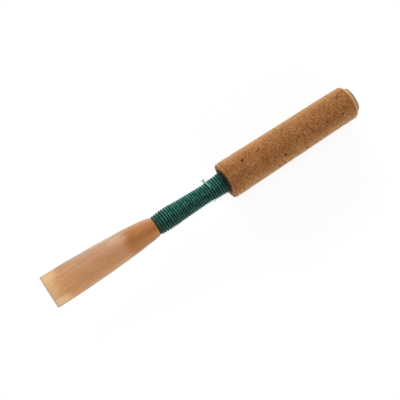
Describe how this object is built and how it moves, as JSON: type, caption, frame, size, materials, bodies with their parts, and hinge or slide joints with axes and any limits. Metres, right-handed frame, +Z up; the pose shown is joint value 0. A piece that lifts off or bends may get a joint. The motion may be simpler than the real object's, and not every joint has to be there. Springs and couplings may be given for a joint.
{
  "type": "oboe reed",
  "caption": "Oboe reed: a pair of cane blades bound with green thread to a conical metal staple, with a tapered cork sleeve on its foot that plugs into the instrument.",
  "frame": {"origin": "on the table, under the middle of the reed's length and width, with the reed lying on its cork and its axis level", "axes": "+X along the reed's axis from the blades' tip to the staple's foot, Y across the blades' width, +Z up, square to the blades' flat sides"},
  "size_m": [0.072, 0.0076, 0.0077],
  "materials": {
    "staple_metal": "satin tube, its foot rim bare and a little tarnished",
    "cork": "sanded natural cork, matt, with dark pores and fine speckle",
    "cane": "scraped cane with a fine lengthwise grain, glossier and darker bark near the thread",
    "thread": "twisted nylon binding thread with a soft sheen"
  },
  "bodies": {
    "root": {"staple_tube": "staple_metal", "cork_sleeve": "cork", "upper_blade": "cane", "lower_blade": "cane", "thread_underlayer": "thread", "thread_winding": "thread", "thread_hitch": "thread"}
  },
  "joints": []
}
